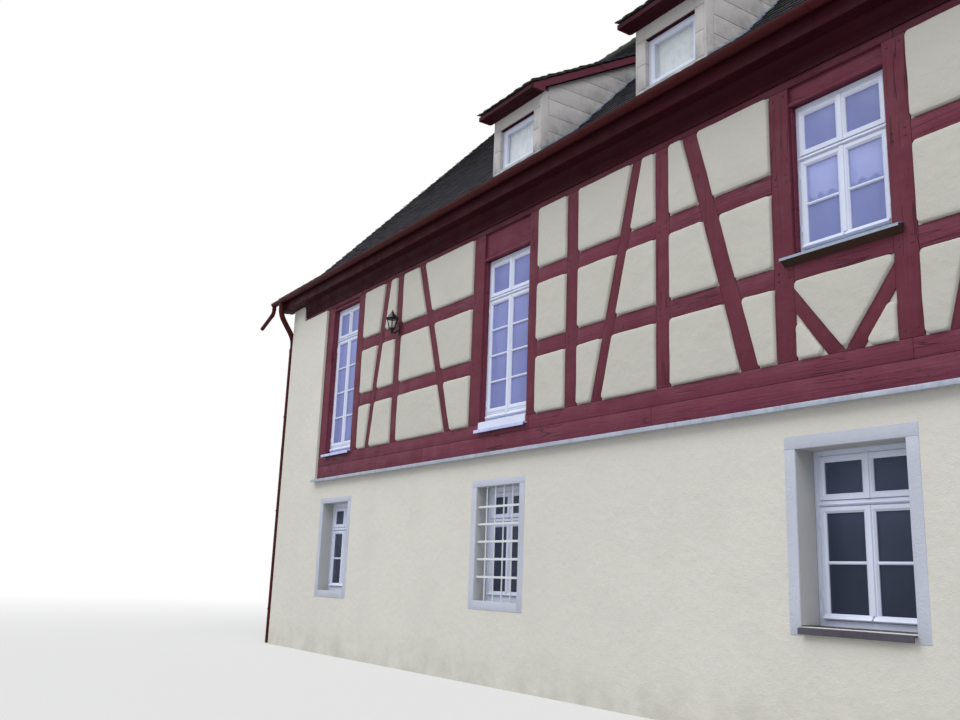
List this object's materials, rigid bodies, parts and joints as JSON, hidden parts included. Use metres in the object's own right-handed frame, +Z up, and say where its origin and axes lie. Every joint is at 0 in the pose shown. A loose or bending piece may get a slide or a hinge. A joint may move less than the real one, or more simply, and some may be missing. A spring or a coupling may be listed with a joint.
{
  "type": "half timbered house",
  "caption": "Long half timbered house with a rendered masonry ground storey, braced timber upper storey, moulded eaves, steep tiled roof and shed dormers",
  "frame": {"origin": "centre of the house's plan at ground level, which is the middle of the bounding box's underside", "axes": "+X along the front to the right as seen from outside, -Y out of the front, +Z up"},
  "size_m": [25.87, 10.31, 11.6269],
  "materials": {
    "render": "matte lime render",
    "infill": "matte plaster",
    "slab": "concrete",
    "boards": "rough boards",
    "timber": "weathered wine red paint",
    "zinc": "weathered zinc",
    "cornice": "dark red paint",
    "gutter": "red brown paint",
    "tiles": "weathered clay",
    "dormer_cladding": "stained slabs",
    "window_paint": "white paint",
    "grille_paint": "white paint",
    "glass": "clear",
    "stone": "fine grained stone",
    "lantern_black": "black paint"
  },
  "bodies": {
    "root": {"ground_floor_slab": "slab", "upper_floor": "boards", "attic_floor": "boards", "ground_wall_front": "render", "ground_wall_back": "render", "gable_wall_left": "render", "gable_wall_right": "render", "corner_walls": "render", "flashings": "zinc", "lower_sill_beams": "timber", "upper_sill_beams": "timber", "posts_front": "timber", "posts_back": "timber", "rails_front": "timber", "rails_back": "timber", "braces_front": "timber", "braces_back": "timber", "wall_plates": "timber", "infill_panels_front": "infill", "infill_panels_back": "infill", "eaves_mouldings": "cornice", "eaves_soffits": "cornice", "gutters": "gutter", "downpipes": "gutter", "roof_slope_front": "boards", "roof_slope_back": "boards", "roof_tiles_front": "tiles", "roof_tiles_back": "tiles", "ridge_cap": "tiles", "verge_boards": "cornice", "dormer_fronts": "dormer_cladding", "dormer_cheeks": "dormer_cladding", "dormer_roofs": "tiles", "dormer_windows": "window_paint", "tall_windows": "window_paint", "short_windows": "window_paint", "ground_windows": "window_paint", "gable_windows": "window_paint", "window_glass": "glass", "window_surrounds": "stone", "window_sills": "zinc", "window_heads": "timber", "window_grilles": "grille_paint", "wall_lanterns": "lantern_black", "entrance_door": "timber"}
  },
  "joints": []
}
